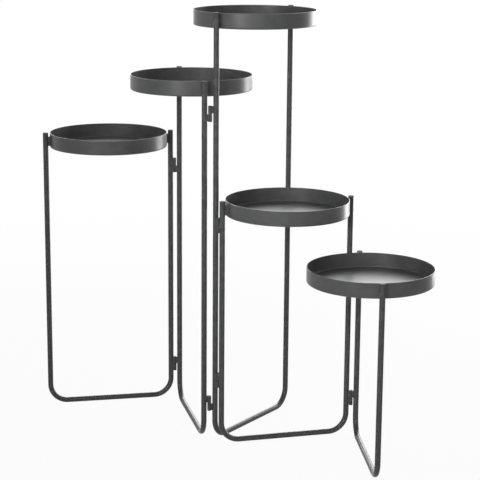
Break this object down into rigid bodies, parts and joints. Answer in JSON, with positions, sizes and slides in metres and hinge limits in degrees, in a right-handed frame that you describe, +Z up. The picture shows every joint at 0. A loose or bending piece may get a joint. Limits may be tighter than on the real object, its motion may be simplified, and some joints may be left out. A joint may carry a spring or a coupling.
{
  "type": "folding plant stand",
  "caption": "Folding screen-type plant stand: hinged U frames of bent round tube, each holding a shallow round tray between its posts at its own height.",
  "frame": {"origin": "middle of the stand's box on the floor, with the stand set out as in the picture", "axes": "+Z up; +X to the right and +Y away from the viewer, as the stand is seen in the picture"},
  "size_m": [0.7038, 0.5392, 0.77],
  "materials": {
    "frame_coat": "satin charcoal powder coat",
    "tray_coat": "satin charcoal powder coat",
    "pin_steel": "blackened steel"
  },
  "bodies": {
    "panel_1": {"frame_1": "frame_coat", "frame_1_cap_a": "frame_coat", "frame_1_cap_b": "frame_coat", "hinge_1_2_lower_bottom_knuckle": "frame_coat", "hinge_1_2_lower_pin": "pin_steel", "hinge_1_2_upper_top_knuckle": "frame_coat", "tray_1": "tray_coat", "tray_1_lug_a": "frame_coat", "tray_1_lug_b": "frame_coat"},
    "panel_2": {"frame_2": "frame_coat", "frame_2_cap_a": "frame_coat", "frame_2_cap_b": "frame_coat", "hinge_1_2_lower_top_knuckle": "frame_coat", "hinge_1_2_upper_bottom_knuckle": "frame_coat", "hinge_1_2_upper_pin": "pin_steel", "hinge_2_3_lower_top_knuckle": "frame_coat", "hinge_2_3_upper_bottom_knuckle": "frame_coat", "hinge_2_3_upper_pin": "pin_steel", "tray_2": "tray_coat", "tray_2_lug_a": "frame_coat", "tray_2_lug_b": "frame_coat"},
    "panel_3": {"frame_3": "frame_coat", "frame_3_cap_a": "frame_coat", "frame_3_cap_b": "frame_coat", "hinge_2_3_lower_bottom_knuckle": "frame_coat", "hinge_2_3_lower_pin": "pin_steel", "hinge_2_3_upper_top_knuckle": "frame_coat", "hinge_3_4_lower_bottom_knuckle": "frame_coat", "hinge_3_4_lower_pin": "pin_steel", "hinge_3_4_upper_top_knuckle": "frame_coat", "tray_3": "tray_coat", "tray_3_lug_a": "frame_coat", "tray_3_lug_b": "frame_coat"},
    "panel_4": {"frame_4": "frame_coat", "frame_4_cap_a": "frame_coat", "frame_4_cap_b": "frame_coat", "hinge_3_4_lower_top_knuckle": "frame_coat", "hinge_3_4_upper_bottom_knuckle": "frame_coat", "hinge_3_4_upper_pin": "pin_steel", "hinge_4_5_lower_bottom_knuckle": "frame_coat", "hinge_4_5_lower_pin": "pin_steel", "hinge_4_5_upper_top_knuckle": "frame_coat", "tray_4": "tray_coat", "tray_4_lug_a": "frame_coat", "tray_4_lug_b": "frame_coat"},
    "panel_5": {"frame_5": "frame_coat", "frame_5_cap_a": "frame_coat", "frame_5_cap_b": "frame_coat", "hinge_4_5_lower_top_knuckle": "frame_coat", "hinge_4_5_upper_bottom_knuckle": "frame_coat", "hinge_4_5_upper_pin": "pin_steel", "tray_5": "tray_coat", "tray_5_lug_a": "frame_coat", "tray_5_lug_b": "frame_coat"}
  },
  "joints": [
    {"name": "hinge_2_3", "type": "hinge", "parent": "panel_3", "child": "panel_2", "pos_m": [-0.03569, -0.06127, 0], "axis": [0, 0, 1], "range_deg": [-47.2, 57.8]},
    {"name": "hinge_1_2", "type": "hinge", "parent": "panel_2", "child": "panel_1", "pos_m": [-0.10825, 0.17655, 0], "axis": [0, 0, -1], "range_deg": [-91.2, 88.8]},
    {"name": "hinge_3_4", "type": "hinge", "parent": "panel_3", "child": "panel_4", "pos_m": [-0.02146, -0.07094, 0], "axis": [0, 0, -1], "range_deg": [-41, 64]},
    {"name": "hinge_4_5", "type": "hinge", "parent": "panel_4", "child": "panel_5", "pos_m": [0.22275, -0.02421, 0], "axis": [0, 0, 1], "range_deg": [-80.1, 99.9]}
  ]
}
